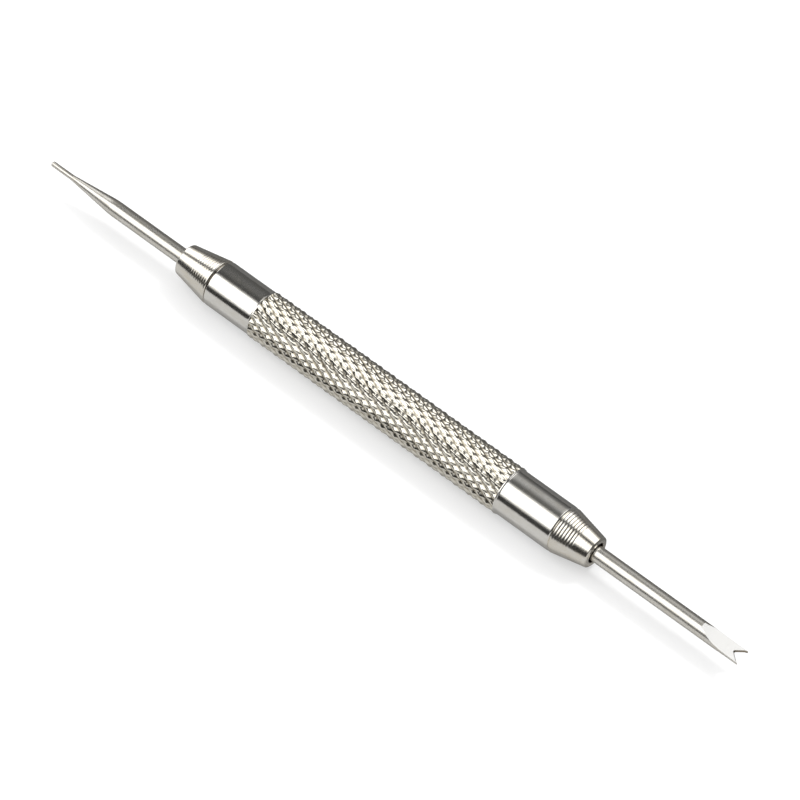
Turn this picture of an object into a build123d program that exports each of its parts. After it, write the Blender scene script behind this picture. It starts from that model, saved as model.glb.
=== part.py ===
from build123d import *

import os
from math import radians, tan

os.makedirs("parts", exist_ok=True)

# A double-ended spring bar tool: a knurled handle with a conical screw-in nose at each end, one nose
# holding a push pin and the other a fork. Millimetres. The tool's axis is X, with the pin towards -X,
# the fork towards +X and the fork's flats facing +Z and -Z. The origin is at the middle of its length.

# Lengths along the axis, from the pin's point to the fork's prongs.
overall_length = 135.0
pin_projection = 27.6
pin_nose_length = 6.85
pin_neck_length = 8.85
knurl_length = 48.55
fork_neck_length = 9.95
fork_nose_length = 6.2

# Handle.
knurl_radius = 4.0
neck_radius = 3.8
knurl_edge = 0.35
joint_chamfer = 0.25

# Conical noses.
nose_face_radius = 2.5
nose_face_edge = 0.2
mouth_radius = 1.65
mouth_depth = 2.2
mouth_edge = 0.15

# Threads, shown as rings: the M5 spigot of each nose and the M3 tail of each tip.
thread_gap = 0.05
spigot_radius = 2.5
spigot_pitch = 0.8
spigot_turns = 7
spigot_relief = 0.7
spigot_relief_radius = 2.0
handle_hole_depth = 7.6
tail_radius = 1.5
tail_pitch = 0.5
tail_turns = 8
tail_end_gap = 0.3
thread_depth_per_pitch = 0.5625
thread_crest_per_pitch = 0.125
thread_flank_angle = 30.0
drill_half_angle = 59.0

# Steel tips.
rod_radius = 1.3
pin_radius = 0.45
pin_length = 4.2
pin_taper_length = 8.55
pin_blend_radius = 8.0
rod_blend_radius = 20.0
pin_end_chamfer = 0.1
flat_length = 7.0
wheel_run_out = 5.0
blade_half_thickness = 0.28
notch_depth = 1.6
notch_half_width = 1.24
notch_root_radius = 0.2

# Stations worked out from the lengths.
pin_end_x = -overall_length / 2
pin_face_x = pin_end_x + pin_projection
pin_joint_x = pin_face_x + pin_nose_length
knurl_start_x = pin_joint_x + pin_neck_length
knurl_end_x = knurl_start_x + knurl_length
fork_joint_x = knurl_end_x + fork_neck_length
fork_end_x = overall_length / 2
fork_projection = fork_end_x - fork_joint_x - fork_nose_length
spigot_length = spigot_relief + spigot_turns * spigot_pitch
tail_length = tail_turns * tail_pitch

# Each nose and tip is made pointing towards +X, with X = 0 at the joint between nose and handle.
pin_end = Pos(pin_joint_x, 0, 0) * Rot(0, 0, 180)
fork_end = Pos(fork_joint_x, 0, 0)


def turned(*edges):
    """A solid of revolution about X from the edges of a closed half profile."""
    return revolve(make_face(edges), Axis.X)


def turned_outline(points):
    """A solid of revolution about X from straight runs, closed along the axis."""
    return turned(*Polyline(*points, close=True).edges())


def thread_outline(start, radius, pitch, turns):
    """Half profile of a row of thread rings that begins and ends at the root."""
    depth = thread_depth_per_pitch * pitch
    flank = depth * tan(radians(thread_flank_angle))
    crest = thread_crest_per_pitch * pitch
    root = pitch - crest - 2 * flank
    points = []
    for turn in range(turns):
        foot = start + turn * pitch + root / 2
        points.append((foot, radius - depth))
        points.append((foot + flank, radius))
        points.append((foot + flank + crest, radius))
        points.append((foot + crest + 2 * flank, radius - depth))
    return points


def drilled_hole(mouth_x, radius, depth):
    """A blind hole drilled towards -X, with the drill's cone at its bottom."""
    floor = mouth_x - depth
    cone = radius / tan(radians(drill_half_angle))
    return turned_outline([(floor - cone, 0), (floor, radius), (mouth_x, radius), (mouth_x, 0)])


def countersink(mouth_x, radius, edge):
    """The small cone that breaks a hole's mouth."""
    points = [(mouth_x - edge, 0), (mouth_x - edge, radius), (mouth_x, radius + edge), (mouth_x, 0)]
    return turned_outline(points)


def handle_hole():
    """The tapped hole for a nose's spigot, drawn at the joint plane X = 0."""
    radius = spigot_radius + thread_gap
    return drilled_hole(0, radius, handle_hole_depth) + countersink(0, radius, joint_chamfer)


def make_barrel():
    """The knurled handle, plain at the knurl's crest radius, with its smooth necks."""
    points = [
        (pin_joint_x, 0),
        (pin_joint_x, neck_radius - joint_chamfer),
        (pin_joint_x + joint_chamfer, neck_radius),
        (knurl_start_x, neck_radius),
        (knurl_start_x + knurl_edge, knurl_radius),
        (knurl_end_x - knurl_edge, knurl_radius),
        (knurl_end_x, neck_radius),
        (fork_joint_x - joint_chamfer, neck_radius),
        (fork_joint_x, neck_radius - joint_chamfer),
        (fork_joint_x, 0),
    ]
    return turned_outline(points) - pin_end * handle_hole() - fork_end * handle_hole()


def make_nose(nose_length):
    """A conical nose with its threaded spigot, bored from the front for a tip."""
    shoulder = neck_radius - joint_chamfer
    tapped_depth = mouth_depth + tail_length + tail_end_gap
    points = [(-spigot_length, 0)]
    points += thread_outline(-spigot_length, spigot_radius, spigot_pitch, spigot_turns)
    points += [
        (-spigot_relief, spigot_relief_radius),
        (0, spigot_relief_radius),
        (0, shoulder),
        (joint_chamfer, neck_radius),
        (nose_length - nose_face_edge, nose_face_radius + nose_face_edge / 2),
        (nose_length, nose_face_radius - nose_face_edge),
        (nose_length, 0),
    ]
    points.insert(1, (-spigot_length, spigot_radius - thread_depth_per_pitch * spigot_pitch))
    mouth = drilled_hole(nose_length, mouth_radius, mouth_depth)
    tapped = drilled_hole(nose_length, tail_radius + thread_gap, tapped_depth)
    broken_edge = countersink(nose_length, mouth_radius, mouth_edge)
    return turned_outline(points) - mouth - tapped - broken_edge


def tail_outline(nose_length):
    """Half profile of a tip's threaded tail, from the axis to the rod."""
    root = tail_radius - thread_depth_per_pitch * tail_pitch
    mouth_floor = nose_length - mouth_depth
    tail_start = mouth_floor - tail_length
    points = [(tail_start, 0), (tail_start, root)]
    points += thread_outline(tail_start, tail_radius, tail_pitch, tail_turns)
    points.append((mouth_floor, root))
    points.append((mouth_floor, rod_radius))
    return points


def make_pin_tip():
    """A rod that tapers to the push pin, with soft blends at both ends of the taper."""
    tip_x = pin_nose_length + pin_projection
    pin_start = tip_x - pin_length
    taper_start = pin_start - pin_taper_length
    tail_points = tail_outline(pin_nose_length)
    taper = FilletPolyline(
        tail_points[-1],
        (taper_start, rod_radius),
        (pin_start, pin_radius),
        (tip_x - pin_end_chamfer, pin_radius),
        radius=[rod_blend_radius, pin_blend_radius],
    )
    tail = Polyline(*tail_points)
    end = Polyline(
        (tip_x - pin_end_chamfer, pin_radius), (tip_x, pin_radius - pin_end_chamfer), (tip_x, 0)
    )
    axis = Line((tip_x, 0), tail_points[0])
    return turned(*tail.edges(), *taper.edges(), *end.edges(), axis.edge())


def ground_away(tip_x):
    """What a grinding wheel takes off the top of the fork's rod: an arc that runs out into a flat."""
    drop = rod_radius - blade_half_thickness
    wheel_radius = (wheel_run_out**2 + drop**2) / (2 * drop)
    wheel_x = tip_x - flat_length + wheel_run_out
    width = 4 * rod_radius
    wheel = Pos(wheel_x, 0, blade_half_thickness + wheel_radius) * Rot(90, 0, 0)
    wheel *= Cylinder(wheel_radius, width)
    run_length = 2 * (tip_x - wheel_x)
    flat = Pos(wheel_x + run_length / 2, 0, blade_half_thickness + width / 2)
    flat *= Box(run_length, width, width)
    return wheel + flat


def notch(tip_x):
    """The V notch between the fork's two sharp prongs, rounded at its root."""
    slope = notch_half_width / notch_depth
    mouth_x = tip_x + rod_radius
    mouth_half_width = slope * (mouth_x - tip_x + notch_depth)
    points = [
        (mouth_x, -mouth_half_width),
        (tip_x - notch_depth, 0),
        (mouth_x, mouth_half_width),
    ]
    outline = make_face(Polyline(*points, close=True).edges())
    root = outline.vertices().sort_by(Axis.X)[0]
    outline = fillet(root, notch_root_radius)
    return extrude(outline, rod_radius, both=True)


def make_fork_tip():
    """A rod with two ground flats and a notched blade."""
    tip_x = fork_nose_length + fork_projection
    rod = turned_outline(tail_outline(fork_nose_length) + [(tip_x, rod_radius), (tip_x, 0)])
    above = ground_away(tip_x)
    return rod - above - mirror(above, Plane.XY) - notch(tip_x)


nodes = {
    "barrel": make_barrel(),
    "pin_nose": pin_end * make_nose(pin_nose_length),
    "fork_nose": fork_end * make_nose(fork_nose_length),
    "pin_tip": pin_end * make_pin_tip(),
    "fork_tip": fork_end * make_fork_tip(),
}

for node, solid in nodes.items():
    export_step(solid, f"parts/{node}.step")
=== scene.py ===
import math

import bmesh
import bpy
import numpy as np
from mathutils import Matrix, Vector


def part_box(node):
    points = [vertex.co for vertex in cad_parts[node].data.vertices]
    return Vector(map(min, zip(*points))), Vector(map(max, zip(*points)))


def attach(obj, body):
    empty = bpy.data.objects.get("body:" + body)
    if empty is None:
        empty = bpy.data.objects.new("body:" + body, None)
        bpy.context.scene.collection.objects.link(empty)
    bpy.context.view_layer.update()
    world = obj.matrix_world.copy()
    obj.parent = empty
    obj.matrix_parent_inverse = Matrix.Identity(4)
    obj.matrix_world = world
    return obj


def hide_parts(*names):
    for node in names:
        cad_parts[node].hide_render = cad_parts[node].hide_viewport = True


# A spring bar tool lying on a white table. Lengths below are in millimetres until a mesh is made.
# Each nose and tip is drawn pointing along +X with X = 0 at its joint with the handle, then placed.

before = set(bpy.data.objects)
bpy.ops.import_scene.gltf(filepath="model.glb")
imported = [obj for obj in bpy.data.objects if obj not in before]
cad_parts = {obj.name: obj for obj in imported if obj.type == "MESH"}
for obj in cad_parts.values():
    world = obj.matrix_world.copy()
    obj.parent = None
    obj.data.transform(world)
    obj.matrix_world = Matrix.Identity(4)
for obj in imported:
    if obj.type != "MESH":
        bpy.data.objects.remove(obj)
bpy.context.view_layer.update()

MM = 0.001
TURN = 2 * math.pi
SAME_POINT = 0.0002
ROW_STEP = 0.4

# Stations along the axis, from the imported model.
handle_low, handle_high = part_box("barrel")
PIN_JOINT = handle_low.x / MM
FORK_JOINT = handle_high.x / MM
CREST = handle_high.y / MM
NOSE_LENGTH = {
    "pin": PIN_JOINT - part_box("pin_nose")[0].x / MM,
    "fork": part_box("fork_nose")[1].x / MM - FORK_JOINT,
}
FORK_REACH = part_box("fork_tip")[1].x / MM - FORK_JOINT
PIN_REACH = PIN_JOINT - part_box("pin_tip")[0].x / MM
SPIGOT_LENGTH = FORK_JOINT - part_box("fork_nose")[0].x / MM

# Handle.
NECK = 3.8
PIN_NECK_LENGTH = 8.85
FORK_NECK_LENGTH = 9.95
JOINT_CHAMFER = 0.25
RIM_LENGTH = 0.3
RIM_RADIUS = 3.92
KNURL_START = PIN_JOINT + PIN_NECK_LENGTH + RIM_LENGTH
KNURL_END = FORK_JOINT - FORK_NECK_LENGTH - RIM_LENGTH
KNURL_STARTS = 18
KNURL_CELLS = 19
SAMPLES_PER_CELL = 12
DEEP_GROOVE = 0.3
SHALLOW_GROOVE = 0.22
CROSSING_SHARE = 0.3
CREST_ROUNDING = 0.06
PIT_DEPTH = DEEP_GROOVE + CROSSING_SHARE * SHALLOW_GROOVE
HOLE_RADIUS = 2.54
HOLE_DEPTH = 7.6
HOLE_THREAD = 0.1

# Noses.
NOSE_FACE = 2.5
NOSE_FACE_EDGE = 0.2
MOUTH = 1.65
MOUTH_DEPTH = 2.2
MOUTH_EDGE = 0.15
RING_PITCH = 0.46
RING_DEPTH = {"pin": 0.016, "fork": 0.045}
RING_SHARE = 0.62
SPIGOT = 2.5
SPIGOT_PITCH = 0.8
SPIGOT_RELIEF = 0.7
SPIGOT_RELIEF_RADIUS = 2.0
SEAT = 1.55
THREAD_DEPTH_SHARE = 0.5625
DRILL_HALF_ANGLE = math.radians(59)

# Tips.
ROD = 1.3
TAIL = 1.5
TAIL_PITCH = 0.5
TAIL_LENGTH = 4.0
TAIL_END_GAP = 0.3
PIN = 0.45
PIN_LENGTH = 4.2
PIN_TAPER = 8.55
PIN_BLEND = 0.1
ROD_BLEND = 0.25
FLAT_LENGTH = 7.0
RUN_OUT = 5.0
BLADE_HALF = 0.28
NOTCH_DEPTH = 1.6
NOTCH_HALF_WIDTH = 1.24
NOTCH_ROUNDING = 0.16
NOTCH_BEVEL = 0.22
NOTCH_START = FORK_JOINT + FORK_REACH - NOTCH_DEPTH - 0.3


# ---------------------------------------------------------------- meshes


def make_object(name, vertices, faces, sharp_degrees=30):
    """A closed smooth-shaded mesh object from millimetre vertices."""
    mesh = bpy.data.meshes.new(name)
    mesh.from_pydata((np.asarray(vertices) * MM).tolist(), [], faces)
    merged = bmesh.new()
    merged.from_mesh(mesh)
    bmesh.ops.remove_doubles(merged, verts=merged.verts, dist=SAME_POINT * MM)
    bmesh.ops.dissolve_degenerate(merged, edges=merged.edges, dist=SAME_POINT * MM)
    bmesh.ops.recalc_face_normals(merged, faces=merged.faces)
    merged.to_mesh(mesh)
    merged.free()
    mesh.shade_smooth()
    mesh.set_sharp_from_angle(angle=math.radians(sharp_degrees))
    piece = bpy.data.objects.new(name, mesh)
    bpy.context.scene.collection.objects.link(piece)
    return piece


def grid_faces(rows, segments, split=None):
    """Faces between closed rings of vertices. split says which diagonal a quad is cut along."""
    row, seg = np.meshgrid(np.arange(rows - 1), np.arange(segments), indexing="ij")
    here = row * segments + seg
    side = row * segments + (seg + 1) % segments
    up, far = here + segments, side + segments
    quads = np.stack([here, side, far, up], axis=-1)
    if split is None:
        return quads.reshape(-1, 4).tolist()
    first = np.where(split[..., None], quads[..., [0, 1, 2]], quads[..., [0, 1, 3]])
    second = np.where(split[..., None], quads[..., [0, 2, 3]], quads[..., [1, 2, 3]])
    return np.concatenate([first.reshape(-1, 3), second.reshape(-1, 3)]).tolist()


def lathe(name, stations, radii, split=None, sharp_degrees=30):
    """A solid of revolution whose radius may also vary round the axis, closed by a point at each end."""
    rows, segments = radii.shape
    angle = np.arange(segments) * TURN / segments
    x = np.broadcast_to(stations[:, None], radii.shape)
    rings = np.stack([x, radii * np.cos(angle), radii * np.sin(angle)], axis=-1).reshape(-1, 3)
    ends = [(stations[0], 0, 0), (stations[-1], 0, 0)]
    faces = grid_faces(rows, segments, split)
    first, last = len(rings), len(rings) + 1
    top = (rows - 1) * segments
    for seg in range(segments):
        after = (seg + 1) % segments
        faces.append([first, after, seg])
        faces.append([last, top + seg, top + after])
    return make_object(name, np.vstack([rings, ends]), faces, sharp_degrees)


def outline(points, rounding=0.04, step=None):
    """Stations and radii along a polyline, with its corners slightly rounded and long runs divided."""
    points = [np.array(p, float) for p in points]
    path = [points[0]]
    for before, corner, after in zip(points, points[1:], points[2:]):
        back, on = before - corner, after - corner
        cut = min(rounding, 0.4 * np.linalg.norm(back), 0.4 * np.linalg.norm(on))
        start = corner + back / np.linalg.norm(back) * cut
        end = corner + on / np.linalg.norm(on) * cut
        path += [start, (start + 2 * corner + end) / 4, end]
    path.append(points[-1])
    if step:
        fine = [path[0]]
        for a, b in zip(path, path[1:]):
            count = max(1, math.ceil(np.linalg.norm(b - a) / step))
            fine += [a + (b - a) * k / count for k in range(1, count + 1)]
        path = fine
    path = np.array(path)
    return path[:, 0], path[:, 1]


def triangle_wave(phase):
    """0 where the phase is whole and 1 halfway between."""
    return 1 - np.abs(2 * (phase - np.floor(phase)) - 1)


def thread_wave(phase):
    """A 60 degree thread's section: 0 at the root and 1 at the crest, both with narrow flats."""
    return np.clip(triangle_wave(phase) * 1.5 - 0.3, 0, 1)


def place(piece, end):
    """Moves a nose or tip's mesh from its own axis to its place on the tool."""
    for vertex in piece.data.vertices:
        x, y, z = vertex.co
        if end == "fork":
            vertex.co = (FORK_JOINT * MM + x, y, z)
        else:
            vertex.co = (PIN_JOINT * MM - x, -y, z)
    piece.data.update()
    return piece


# ---------------------------------------------------------------- handle


def groove(phase):
    """A V groove's depth: 1 at its sharp root and 0 at the rounded crest halfway to the next."""
    depth = 1 - triangle_wave(phase)
    return (np.sqrt(depth**2 + CREST_ROUNDING**2) - CREST_ROUNDING) / (1 - CREST_ROUNDING)


def knurl_radius(x, angle):
    """The diamond knurl: two families of V grooves, the right-hand ones deeper."""
    around = KNURL_STARTS * angle / TURN
    along = (x - KNURL_START) * KNURL_CELLS / (KNURL_END - KNURL_START)
    uneven = 1 + 0.05 * np.sin(2 * angle + 0.35 * x) + 0.04 * np.sin(3 * angle - 0.61 * x + 1)
    deep = DEEP_GROOVE * uneven * groove(around - along)
    shallow = SHALLOW_GROOVE * (2 - uneven) * groove(around + along)
    return CREST - np.maximum(deep, shallow) - CROSSING_SHARE * np.minimum(deep, shallow)


def handle_rows():
    """Stations and plain radii of the whole handle, from one hole's floor to the other's, by zone."""
    cone = HOLE_RADIUS / math.tan(DRILL_HALF_ANGLE)
    turns = int(HOLE_DEPTH / SPIGOT_PITCH * 6)

    def hole(joint, outward):
        floor = joint - outward * HOLE_DEPTH
        bore = np.linspace(floor, joint - outward * JOINT_CHAMFER, turns)
        x = np.concatenate([[floor - outward * cone * 0.98], bore, [joint]])
        r = np.concatenate([[0.02], np.full(turns, HOLE_RADIUS), [HOLE_RADIUS + JOINT_CHAMFER]])
        return x, r

    rows = SAMPLES_PER_CELL * KNURL_CELLS + 1
    pin_x, pin_r = hole(PIN_JOINT, -1)
    fork_x, fork_r = hole(FORK_JOINT, 1)
    pin_neck = outline(
        [
            (PIN_JOINT, HOLE_RADIUS + JOINT_CHAMFER + 0.02),
            (PIN_JOINT, NECK - JOINT_CHAMFER),
            (PIN_JOINT + JOINT_CHAMFER, NECK),
            (KNURL_START - RIM_LENGTH, NECK),
            (KNURL_START - RIM_LENGTH * 0.7, RIM_RADIUS),
            (KNURL_START - 0.04, RIM_RADIUS),
        ],
        step=ROW_STEP,
    )
    fork_neck = outline(
        [
            (KNURL_END + 0.04, RIM_RADIUS),
            (KNURL_END + RIM_LENGTH * 0.7, RIM_RADIUS),
            (KNURL_END + RIM_LENGTH, NECK),
            (FORK_JOINT - JOINT_CHAMFER, NECK),
            (FORK_JOINT, NECK - JOINT_CHAMFER),
            (FORK_JOINT, HOLE_RADIUS + JOINT_CHAMFER + 0.02),
        ],
        step=ROW_STEP,
    )
    knurl = np.linspace(KNURL_START, KNURL_END, rows), np.full(rows, CREST)
    zones = [("bore", pin_x, pin_r), ("neck", *pin_neck), ("knurl", *knurl)]
    zones += [("neck", *fork_neck), ("bore", fork_x[::-1], fork_r[::-1])]
    kind = np.concatenate([[name] * len(x) for name, x, r in zones])
    return kind, np.concatenate([z[1] for z in zones]), np.concatenate([z[2] for z in zones])


def make_handle():
    """The knurled handle, with its smooth necks and the tapped hole in each end."""
    segments = KNURL_STARTS * SAMPLES_PER_CELL
    kind, x, r = handle_rows()
    angle = np.arange(segments) * TURN / segments
    radii = np.repeat(r[:, None], segments, axis=1)
    knurl = kind == "knurl"
    radii[knurl] = knurl_radius(x[knurl][:, None], angle[None, :])
    bore = (kind == "bore") & (np.abs(r - HOLE_RADIUS) < 1e-9)
    for joint, hand in ((PIN_JOINT, -1), (FORK_JOINT, 1)):
        here = bore & (np.abs(x - joint) < HOLE_DEPTH + 1)
        phase = hand * (x[here][:, None] - joint) / SPIGOT_PITCH - hand * angle[None, :] / TURN
        radii[here] += HOLE_THREAD * thread_wave(phase)
    # Each knurl quad is cut along the diagonal that lies in a groove.
    across = radii[:-1] + np.roll(radii, -1, axis=1)[1:]
    other = np.roll(radii, -1, axis=1)[:-1] + radii[1:]
    return lathe("knurled_handle", x, radii, split=across < other, sharp_degrees=38)


# ---------------------------------------------------------------- noses


def make_nose(name, end):
    """A conical nose: threaded spigot, turned cone with tool marks, and the bore for its tip."""
    segments, thread_rows = 144, 84
    length = NOSE_LENGTH[end]
    shoulder = NECK - JOINT_CHAMFER
    spigot_end = SPIGOT - THREAD_DEPTH_SHARE * SPIGOT_PITCH
    floor = length - MOUTH_DEPTH - TAIL_LENGTH - TAIL_END_GAP
    cone = SEAT / math.tan(DRILL_HALF_ANGLE)
    thread_x = np.linspace(-SPIGOT_LENGTH + 0.05, -SPIGOT_RELIEF, thread_rows)
    front = outline(
        [
            (-SPIGOT_RELIEF + 0.02, SPIGOT_RELIEF_RADIUS),
            (0, SPIGOT_RELIEF_RADIUS),
            (0, shoulder),
            (JOINT_CHAMFER, NECK),
            (length - NOSE_FACE_EDGE, NOSE_FACE + NOSE_FACE_EDGE / 2),
            (length, NOSE_FACE - NOSE_FACE_EDGE),
            (length, MOUTH + MOUTH_EDGE),
            (length - MOUTH_EDGE, MOUTH),
            (length - MOUTH_DEPTH, MOUTH),
            (length - MOUTH_DEPTH, SEAT),
            (floor, SEAT),
            (floor - cone * 0.98, 0.02),
        ],
        rounding=0.05,
        step=RING_PITCH / 8,
    )
    x = np.concatenate([[-SPIGOT_LENGTH], thread_x, front[0]])
    r = np.concatenate([[spigot_end - 0.1], np.full(thread_rows, SPIGOT), front[1]])
    angle = np.arange(segments) * TURN / segments
    radii = np.repeat(r[:, None], segments, axis=1)
    phase = thread_x[:, None] / SPIGOT_PITCH - angle[None, :] / TURN
    lead = np.clip((thread_x + SPIGOT_LENGTH) / SPIGOT_PITCH, 0, 1)[:, None]
    depth = THREAD_DEPTH_SHARE * SPIGOT_PITCH
    radii[1 : thread_rows + 1] -= depth * (1 - thread_wave(phase) * lead)
    past_thread = np.arange(len(x)) > thread_rows + 1
    cone_rows = (x > JOINT_CHAMFER) & (x < length) & (r > NOSE_FACE) & past_thread
    run = (x - JOINT_CHAMFER) / (length - JOINT_CHAMFER)
    fade = np.clip((RING_SHARE - run) * 8, 0.12, 1)
    marks = RING_DEPTH[end] * fade * triangle_wave(x / RING_PITCH) ** 2
    radii[cone_rows] -= marks[cone_rows][:, None]
    return place(lathe(name, x, radii), end)


# ---------------------------------------------------------------- tips


def tail_rows(around, end):
    """The helical M3 tail that every tip has inside its nose, at the given angles."""
    rows = 96
    floor = NOSE_LENGTH[end] - MOUTH_DEPTH
    x = np.linspace(floor - TAIL_LENGTH, floor, rows)
    phase = x[:, None] / TAIL_PITCH - around[None, :] / TURN
    lead = np.clip((x - x[0]) / TAIL_PITCH, 0, 1)[:, None]
    depth = THREAD_DEPTH_SHARE * TAIL_PITCH
    return x, TAIL - depth * (1 - thread_wave(phase) * lead)


def make_pin_tip():
    """The rod, its long taper and the push pin."""
    segments = 96
    tail_x, tail_r = tail_rows(np.arange(segments) * TURN / segments, "pin")
    pin_start = PIN_REACH - PIN_LENGTH
    taper_start = pin_start - PIN_TAPER
    rod = outline(
        [(tail_x[-1] + 0.01, 1.2), (tail_x[-1] + 0.1, ROD), (taper_start - 2, ROD)], step=ROW_STEP
    )
    taper_x = np.linspace(taper_start - 1.5, pin_start + 1.0, 90)
    slope = (ROD - PIN) / PIN_TAPER
    into = np.logaddexp(0, (taper_x - taper_start) / ROD_BLEND) * ROD_BLEND
    out = np.logaddexp(0, (taper_x - pin_start) / PIN_BLEND) * PIN_BLEND
    taper_r = ROD - slope * (into - out)
    point = outline(
        [(pin_start + 1.5, PIN), (PIN_REACH - 0.1, PIN), (PIN_REACH, PIN - 0.1), (PIN_REACH, 0.01)], 0.03
    )
    x = np.concatenate([tail_x, rod[0], taper_x, point[0]])
    plain = np.concatenate([rod[1], taper_r, point[1]])
    radii = np.vstack([tail_r, np.repeat(plain[:, None], segments, axis=1)])
    return place(lathe("push_pin_tip", x, radii), "pin")


def blade_half_thickness(x):
    """Half the fork rod's thickness at each station: round, then ground down by a wheel."""
    into = np.clip((x - (FORK_REACH - FLAT_LENGTH)) / RUN_OUT, 0, 1)
    return BLADE_HALF + (ROD - BLADE_HALF) * (1 - into) ** 2


def fork_ring(x, side_points, flat_points):
    """One closed section of the fork's rod: two arcs at the sides and a flat chord above and below."""
    half = min(float(blade_half_thickness(x)), ROD)
    crease = math.asin(half / ROD)
    side = np.linspace(-crease, crease, side_points)
    right = np.stack([ROD * np.cos(side), ROD * np.sin(side)], axis=-1)
    reach = ROD * math.cos(crease)
    chord = np.linspace(reach, -reach, flat_points + 2)[1:-1]
    top = np.stack([chord, np.full(flat_points, half)], axis=-1)
    return np.vstack([right, top, -right, -top])


def notch_pull(y):
    """How far the fork's end is drawn back at this distance from the middle."""
    across = np.sqrt(y * y + NOTCH_ROUNDING**2) - NOTCH_ROUNDING * 0.3
    return np.clip(NOTCH_DEPTH * (1 - across / NOTCH_HALF_WIDTH), 0, None)


def make_fork_tip():
    """The rod with two ground flats and the notched blade, as one sheared skin with no cuts."""
    side_points, flat_points = 33, 31
    segments = 2 * (side_points + flat_points)
    start = FORK_REACH - FLAT_LENGTH
    # The round rod's points stand at the angles where the blade's first section has its own.
    first = fork_ring(start, side_points, flat_points)
    around = np.arctan2(first[:, 1], first[:, 0])
    tail_x, tail_r = tail_rows(around, "fork")
    rod = outline([(tail_x[-1] + 0.01, 1.2), (tail_x[-1] + 0.1, ROD), (start - 0.6, ROD)], step=ROW_STEP)
    x = np.concatenate([tail_x, rod[0]])
    radii = np.vstack([tail_r, np.repeat(rod[1][:, None], segments, axis=1)])
    turned = np.stack(
        [np.broadcast_to(x[:, None], radii.shape), radii * np.cos(around), radii * np.sin(around)], axis=-1
    )
    blade_x = np.concatenate([[start - 0.3], np.linspace(start, FORK_REACH, 90)])
    blade = []
    for station in blade_x:
        ring = fork_ring(station, side_points, flat_points)
        share = max(0.0, (station - (FORK_REACH - 3.4)) / 3.4)
        pull = notch_pull(ring[:, 0])
        pull += NOTCH_BEVEL * np.clip(pull / NOTCH_BEVEL, 0, 1)
        blade.append(np.column_stack([station - share * pull, ring]))
    rings = np.concatenate([turned, blade]).reshape(-1, 3)
    rows = len(turned) + len(blade)
    faces = grid_faces(rows, segments)
    # The end wall of the notch joins the top and bottom edges, and each prong's end closes with a fan.
    last = (rows - 1) * segments
    top = [last + side_points - 1 + k for k in range(flat_points + 2)]
    bottom = [last + (2 * side_points + flat_points - 1 + k) % segments for k in range(flat_points + 2)]
    bottom = bottom[::-1]
    edge_y = rings[top][:, 1]
    wall = np.column_stack([FORK_REACH - notch_pull(edge_y), edge_y, 0 * edge_y])
    middle = [len(rings) + k for k in range(len(top))]
    rings = np.concatenate([rings, wall])
    for upper, lower in ((top, middle), (middle, bottom)):
        for a, b, c, d in zip(upper, upper[1:], lower[1:], lower):
            faces.append([a, b, c, d])
    faces.append([middle[0]] + [last + k for k in range(side_points)][::-1])
    far = side_points + flat_points
    faces.append([middle[-1]] + [last + far + k for k in range(side_points)][::-1])
    faces.append(list(range(segments)))
    return place(make_object("fork_blade_tip", rings, faces), "fork")


# ---------------------------------------------------------------- materials


class Nodes:
    """A few short ways to add and join shader nodes."""

    def __init__(self, name):
        self.material = bpy.data.materials.new(name)
        self.material.use_nodes = True
        self.tree = self.material.node_tree
        self.shader = self.tree.nodes["Principled BSDF"]
        coordinates = self.tree.nodes.new("ShaderNodeTexCoord")
        self.place = coordinates.outputs["Object"]
        self.facing = coordinates.outputs["Normal"]

    def link(self, source, target):
        self.tree.links.new(source, target)

    def math(self, operation, a, b=None, c=None):
        node = self.tree.nodes.new("ShaderNodeMath")
        node.operation = operation
        for socket, value in zip(node.inputs, (a, b, c)):
            if isinstance(value, (int, float)):
                socket.default_value = value
            elif value is not None:
                self.link(value, socket)
        return node.outputs[0]

    def ramp(self, value, low, high, out_low=0.0, out_high=1.0):
        """value carried from the range low..high to out_low..out_high, with smooth ends."""
        node = self.tree.nodes.new("ShaderNodeMapRange")
        node.interpolation_type = "SMOOTHSTEP"
        self.link(value, node.inputs["Value"])
        limits = {"From Min": low, "From Max": high, "To Min": out_low, "To Max": out_high}
        for key, number in limits.items():
            node.inputs[key].default_value = number
        return node.outputs["Result"]

    def scaled(self, x, y, z):
        """Object coordinates stretched along each axis, in cycles per metre."""
        node = self.tree.nodes.new("ShaderNodeMapping")
        node.inputs["Scale"].default_value = (x, y, z)
        self.link(self.place, node.inputs["Vector"])
        return node.outputs["Vector"]

    def noise(self, vector, detail=3.0, roughness=0.55):
        node = self.tree.nodes.new("ShaderNodeTexNoise")
        node.inputs["Scale"].default_value = 1.0
        node.inputs["Detail"].default_value = detail
        node.inputs["Roughness"].default_value = roughness
        self.link(vector, node.inputs["Vector"])
        return node.outputs["Fac"]

    def blend(self, share, first, second):
        node = self.tree.nodes.new("ShaderNodeMix")
        node.data_type = "RGBA"
        self.link(share, node.inputs["Factor"])
        for socket, colour in ((node.inputs[6], first), (node.inputs[7], second)):
            if isinstance(colour, tuple):
                socket.default_value = (*colour, 1)
            else:
                self.link(colour, socket)
        return node.outputs[2]

    def bump(self, height, distance, below=None):
        """A surface normal from a height, on top of the one below."""
        node = self.tree.nodes.new("ShaderNodeBump")
        node.inputs["Distance"].default_value = distance
        node.inputs["Strength"].default_value = 1.0
        self.link(height, node.inputs["Height"])
        if below is not None:
            self.link(below, node.inputs["Normal"])
        return node.outputs["Normal"]

    def split(self, vector):
        """A vector's x, y and z."""
        node = self.tree.nodes.new("ShaderNodeSeparateXYZ")
        self.link(vector, node.inputs[0])
        return node.outputs

    def axis_parts(self):
        """The station along the tool and the distance from its axis, in metres."""
        x, y, z = self.split(self.place)
        squares = [self.math("MULTIPLY", side, side) for side in (y, z)]
        return x, self.math("SQRT", self.math("ADD", *squares))


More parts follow.
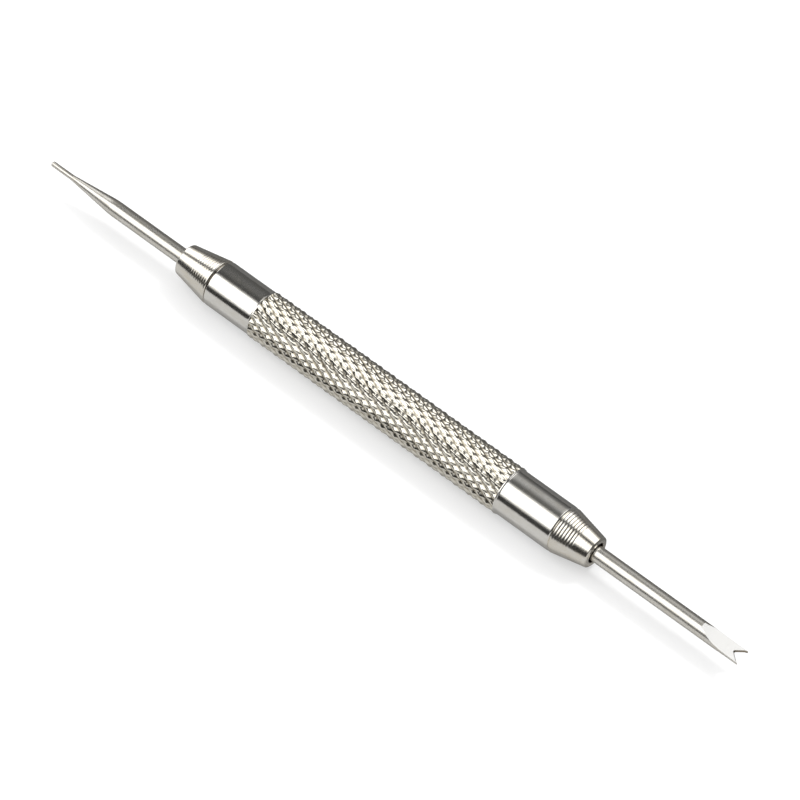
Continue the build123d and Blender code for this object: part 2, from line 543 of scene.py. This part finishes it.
# Noise scales in cycles per metre along and across the tool, and bump heights in metres.
CLOUD_SCALE = (420, 900, 900)
SPECKLE_SCALE = (5200, 5200, 5200)
SCRATCH_SCALE = (700, 9000, 9000)
PEEL_SCALE = (1500, 2200, 2200)
LINES_ACROSS = 60
SCRATCH_BUMP = 1.2e-6
PEEL_BUMP = 5e-6

GRIME = (0.36, 0.31, 0.22)
WORN_KNURL = (0.90, 0.86, 0.76)
# Painted shade for the joint between the handle and the pin's nose.
JOINT_PAINTED_SHADE = (0.16, 0.13, 0.09)
# Painted shade for the inside of the noses' mouths.
MOUTH_PAINTED_SHADE = (0.05, 0.03, 0.015)
NOTCH_BROWN = (0.42, 0.36, 0.28)
FLAT_GREY = (0.62, 0.615, 0.60)


def metal(name, bright, tint, rough, ring_scale, ring_bump, speckle_bump, finish):
    """Plated or ground metal: uneven gloss, faint turning lines, fine scratches and a finish of its own."""
    n = Nodes(name)
    along, radius = n.axis_parts()
    cloud = n.noise(n.scaled(*CLOUD_SCALE), 4)
    speckle = n.noise(n.scaled(*SPECKLE_SCALE), 2)
    lines = n.noise(n.scaled(ring_scale, LINES_ACROSS, LINES_ACROSS), 3, 0.7)
    scratches = n.noise(n.scaled(*SCRATCH_SCALE), 2)
    peel = n.noise(n.scaled(*PEEL_SCALE), 2)
    colour = n.blend(n.ramp(cloud, 0.35, 0.72), bright, tint)
    gloss = n.math("MULTIPLY_ADD", cloud, 0.10, rough - 0.05)
    gloss = n.math("MULTIPLY_ADD", speckle, 0.08, gloss)
    colour, gloss = finish(n, along, radius, cloud, colour, gloss)
    n.link(colour, n.shader.inputs["Base Color"])
    n.link(gloss, n.shader.inputs["Roughness"])
    n.shader.inputs["Metallic"].default_value = 1.0
    turned = n.bump(lines, ring_bump)
    scratched = n.bump(scratches, SCRATCH_BUMP, turned)
    rippled = n.bump(peel, PEEL_BUMP, scratched)
    n.link(n.bump(speckle, speckle_bump, rippled), n.shader.inputs["Normal"])
    return n.material


def grimy_knurl_and_painted_joint_shade(n, along, radius, cloud, colour, gloss):
    """Brown grime in the knurl's pits, and painted shade: a dark line where the handle meets the pin's nose,
    standing in for the shadow in that joint.
    """
    middle = (KNURL_START + KNURL_END) / 2 * MM
    half = (KNURL_END - KNURL_START) / 2 * MM
    deep = n.ramp(radius, (CREST - PIT_DEPTH) * MM, (CREST - 0.45 * PIT_DEPTH) * MM, 1, 0)
    inside = n.math("LESS_THAN", n.math("ABSOLUTE", n.math("SUBTRACT", along, middle)), half)
    hollow = n.math("MULTIPLY", deep, inside)
    dirt = n.math("MULTIPLY", hollow, n.ramp(cloud, 0.2, 0.75, 0.55, 1))
    # Painted shade: the dark ring at the pin's joint stands in for the shadow in the gap there.
    joint_shade_mask = n.ramp(along, (PIN_JOINT + 0.12) * MM, (PIN_JOINT + 0.3) * MM, 0.9, 0)
    worn = n.blend(inside, colour, WORN_KNURL)
    dirty = n.blend(dirt, worn, GRIME)
    return n.blend(joint_shade_mask, dirty, JOINT_PAINTED_SHADE), n.math("MULTIPLY_ADD", hollow, 0.14, gloss)


def painted_mouth_shade(n, along, radius, cloud, colour, gloss):
    """Painted shade: dark colour inside the mouth that the tip comes out of, standing in for the shadow in
    the bore.
    """
    outer = n.math("GREATER_THAN", n.math("ABSOLUTE", along), (FORK_JOINT + 0.5) * MM)
    # Painted shade: the bore just inside the mouth is coloured near-black, in place of its shadow.
    inside = n.math("MULTIPLY", outer, n.ramp(radius, (MOUTH + 0.03) * MM, (MOUTH + 0.12) * MM, 1, 0))
    return n.blend(inside, colour, MOUTH_PAINTED_SHADE), n.math("MULTIPLY_ADD", inside, 0.3, gloss)


def ground_flats(n, along, radius, cloud, colour, gloss):
    """Pale satin metal where the fork's flats are ground into the rod."""
    start = (FORK_JOINT + FORK_REACH - FLAT_LENGTH - 0.3) * MM
    flat = n.ramp(n.math("ABSOLUTE", n.split(n.facing)[2]), 0.86, 0.92)
    ground = n.math("MULTIPLY", n.math("GREATER_THAN", along, start), flat)
    n.link(n.math("MULTIPLY_ADD", ground, -0.65, 1.0), n.shader.inputs["Metallic"])
    within = n.ramp(along, (NOTCH_START - 0.1) * MM, NOTCH_START * MM)
    inner = n.ramp(radius, 0.93 * ROD * MM, 0.99 * ROD * MM, 1, 0)
    cut = n.math("MULTIPLY", n.math("MULTIPLY", within, inner), n.math("SUBTRACT", 1.0, flat))
    edged = n.blend(cut, colour, NOTCH_BROWN)
    return n.blend(ground, edged, FLAT_GREY), n.math("MULTIPLY_ADD", ground, 0.25, gloss)


handle_metal = metal(
    "handle_nickel", (0.93, 0.91, 0.86), (0.86, 0.83, 0.76), 0.10, 5200, 4e-7, 1.2e-6, grimy_knurl_and_painted_joint_shade
)
nose_metal = metal(
    "nose_nickel", (0.92, 0.89, 0.82), (0.86, 0.80, 0.69), 0.14, 7600, 1e-6, 1.5e-6, painted_mouth_shade
)
tip_metal = metal(
    "tip_steel", (0.90, 0.87, 0.81), (0.82, 0.78, 0.69), 0.24, 6400, 2e-6, 2e-6, ground_flats
)

PIECES = (
    (make_handle(), "barrel", "handle_nickel", handle_metal),
    (make_nose("pin_end_nose", "pin"), "pin_nose", "nose_nickel", nose_metal),
    (make_nose("fork_end_nose", "fork"), "fork_nose", "nose_nickel", nose_metal),
    (make_pin_tip(), "pin_tip", "tip_steel", tip_metal),
    (make_fork_tip(), "fork_tip", "tip_steel", tip_metal),
)
for piece, body, slot, material in PIECES:
    piece.data.materials.append(material)
    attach(piece, body)
    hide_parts(body)


# ---------------------------------------------------------------- studio

REACH = 1.5
FLOOR_Z = -CREST * MM

# The studio's panels, as brightness by angle round the tool: 0 at the far table edge, 90 overhead. The
# open ones show in the noses and the knurl, the half-screened ones in the fork's end of the handle and
# in its rod, and the screened ones in the pin's end.
BRIGHTEST = 1.8
OPEN_PANELS = (
    (0, 0.06), (14, 0.1), (25, 0.35), (33, 0.95), (68, 0.95), (75, 0.4), (80, 0.03), (91, 0.03), (98, 0.85),
    (134, 0.85), (144, 0.12), (152, 0.01), (169, 0.01), (180, 0.04),
)
HALF_SCREENED_PANELS = (
    (0, 0.03), (12, 0.05), (24, 0.13), (33, 0.25), (47, 0.26), (58, 0.17), (68, 0.08), (80, 0.06), (88, 0.3),
    (94, 0.9), (143, 0.9), (151, 0.4), (157, 0.05), (163, 0.015), (173, 0.02), (180, 0.05),
)
SCREENED_PANELS = (
    (0, 0.045), (30, 0.05), (56, 0.055), (72, 0.03), (82, 0.03), (89, 0.25),
    (95, 0.9), (145, 0.9), (153, 0.5), (159, 0.05), (165, 0.015), (176, 0.01), (180, 0.03),
)
SCREEN_START = (-0.62, -0.54)
SCREEN_HALVES = (-0.375, -0.335)
SCREEN_END = (-0.2, -0.08)
PANEL_START = (-0.95, -0.75)
PANEL_END = (0.5, 0.7)
NEAR_PANEL_CUT = 0.4
BEYOND_PANELS = 0.07
MIRRORED_TABLE = (0.07, 0.33)
MIRRORED_TABLE_EDGES = (-0.004, 0.008)
TABLE_DARK, TABLE_PALE = (0.44, 0.44, 0.44), (0.45, 0.45, 0.45)
TABLE_GLOW = 0.45
CAMERA_AZIMUTH, CAMERA_ELEVATION = math.radians(40.81), math.radians(56)
CAMERA_DISTANCE, CAMERA_LENS, CAMERA_SENSOR = 0.66656, 202.5, 36.0
CAMERA_SHIFT_ACROSS, CAMERA_SHIFT_UP = 0.00223, 0.00026


def make_floor():
    """A plain white table, a little self-lit, which the metal mirrors darker than the camera sees it."""
    mesh = bpy.data.meshes.new("table")
    sides = ((-REACH, -REACH), (REACH, -REACH), (REACH, REACH), (-REACH, REACH))
    corners = [(x, y, FLOOR_Z) for x, y in sides]
    mesh.from_pydata(corners, [], [(0, 1, 2, 3)])
    floor = bpy.data.objects.new("table", mesh)
    bpy.context.scene.collection.objects.link(floor)
    n = Nodes("table_white")
    paper = n.blend(n.noise(n.scaled(30, 30, 30)), TABLE_DARK, TABLE_PALE)
    across = n.split(n.place)[1]
    shade = n.ramp(across, *MIRRORED_TABLE_EDGES, MIRRORED_TABLE[1], MIRRORED_TABLE[0])
    path = n.tree.nodes.new("ShaderNodeLightPath")
    mirrored = path.outputs["Is Glossy Ray"]
    n.link(n.blend(mirrored, paper, shade), n.shader.inputs["Base Color"])
    n.shader.inputs["Emission Color"].default_value = (1, 1, 1, 1)
    n.link(n.math("MULTIPLY_ADD", mirrored, -TABLE_GLOW, TABLE_GLOW), n.shader.inputs["Emission Strength"])
    n.shader.inputs["Roughness"].default_value = 0.9
    mesh.materials.append(n.material)


def soft_light(name, direction, distance, size, strength):
    """A square area light that faces the tool from a direction and is not mirrored in the metal."""
    data = bpy.data.lights.new(name, "AREA")
    data.shape = "RECTANGLE"
    data.size = data.size_y = size
    data.energy = strength
    light = bpy.data.objects.new(name, data)
    bpy.context.scene.collection.objects.link(light)
    way = Vector(direction).normalized()
    light.location = way * distance
    light.rotation_euler = (-way).to_track_quat("-Z", "Y").to_euler()
    light.visible_glossy = False


def make_world():
    """A white tent of panels that run along the tool, which the camera itself sees as plain white."""
    world = bpy.data.worlds.new("tent")
    bpy.context.scene.world = world
    world.use_nodes = True
    tree = world.node_tree
    back = tree.nodes["Background"]

    def node(kind, *sources):
        made = tree.nodes.new(kind)
        for socket, source in zip(made.inputs, sources):
            if isinstance(source, (int, float)):
                socket.default_value = source
            else:
                tree.links.new(source, socket)
        return made

    def calculate(operation, *sources):
        made = node("ShaderNodeMath", *sources)
        made.operation = operation
        return made.outputs[0]

    def smooth(value, low, high):
        made = node("ShaderNodeMapRange", value, low, high, 0.0, 1.0)
        made.interpolation_type = "SMOOTHSTEP"
        return made.outputs["Result"]

    def panels(turn, stops):
        """Brightness by the angle round the tool's axis, from the far table edge to the near one."""
        ramp = node("ShaderNodeValToRGB", turn)
        elements = ramp.color_ramp.elements
        for degrees, level in stops[1:-1]:
            elements.new(degrees / 180)
        for element, (degrees, level) in zip(elements, stops):
            element.color = (level, level, level, 1)
        return calculate("MULTIPLY", ramp.outputs["Color"], BRIGHTEST)

    def between(value, start, end):
        """1 between two smooth edges and 0 outside them."""
        return calculate("MULTIPLY", smooth(value, *start), calculate("SUBTRACT", 1.0, smooth(value, *end)))

    def choose(share, first, second):
        made = node("ShaderNodeMix", share)
        made.data_type = "FLOAT"
        for socket, source in ((made.inputs[2], first), (made.inputs[3], second)):
            if isinstance(source, float):
                socket.default_value = source
            else:
                tree.links.new(source, socket)
        return made.outputs[0]

    way = node("ShaderNodeTexCoord").outputs["Generated"]
    x, y, z = node("ShaderNodeSeparateXYZ", way).outputs
    turn = calculate("DIVIDE", calculate("ARCTAN2", z, y), math.pi)
    screens = choose(
        smooth(x, *SCREEN_HALVES), panels(turn, SCREENED_PANELS), panels(turn, HALF_SCREENED_PANELS)
    )
    tent = choose(between(x, SCREEN_START, SCREEN_END), panels(turn, OPEN_PANELS), screens)
    reach = calculate("MULTIPLY_ADD", smooth(turn, 0.48, 0.52), NEAR_PANEL_CUT, x)
    tent = choose(between(reach, PANEL_START, PANEL_END), BEYOND_PANELS, tent)
    path = node("ShaderNodeLightPath")
    back.inputs["Color"].default_value = (1, 1, 1, 1)
    tree.links.new(choose(path.outputs["Is Camera Ray"], tent, 1.0), back.inputs["Strength"])


def make_camera():
    """A long lens from the side and above, a little off the tool's middle."""
    back = Vector(
        (
            math.sin(CAMERA_AZIMUTH) * math.cos(CAMERA_ELEVATION),
            -math.cos(CAMERA_AZIMUTH) * math.cos(CAMERA_ELEVATION),
            math.sin(CAMERA_ELEVATION),
        )
    )
    turn = (-back).to_track_quat("-Z", "Y")
    data = bpy.data.cameras.new("camera")
    data.lens = CAMERA_LENS
    data.sensor_width = CAMERA_SENSOR
    data.clip_start = 0.01
    camera = bpy.data.objects.new("camera", data)
    bpy.context.scene.collection.objects.link(camera)
    aim = turn @ Vector((CAMERA_SHIFT_ACROSS, CAMERA_SHIFT_UP, 0))
    camera.location = aim + back * CAMERA_DISTANCE
    camera.rotation_mode = "QUATERNION"
    camera.rotation_quaternion = turn
    bpy.context.scene.camera = camera


make_floor()
make_world()
make_camera()
soft_light("key", (0.3, 0.62, 1.0), 1.0, 0.18, 5.0)
soft_light("fill", (0.0, 0.0, 1.0), 0.9, 1.4, 9.0)
bpy.context.scene.view_settings.view_transform = "Standard"
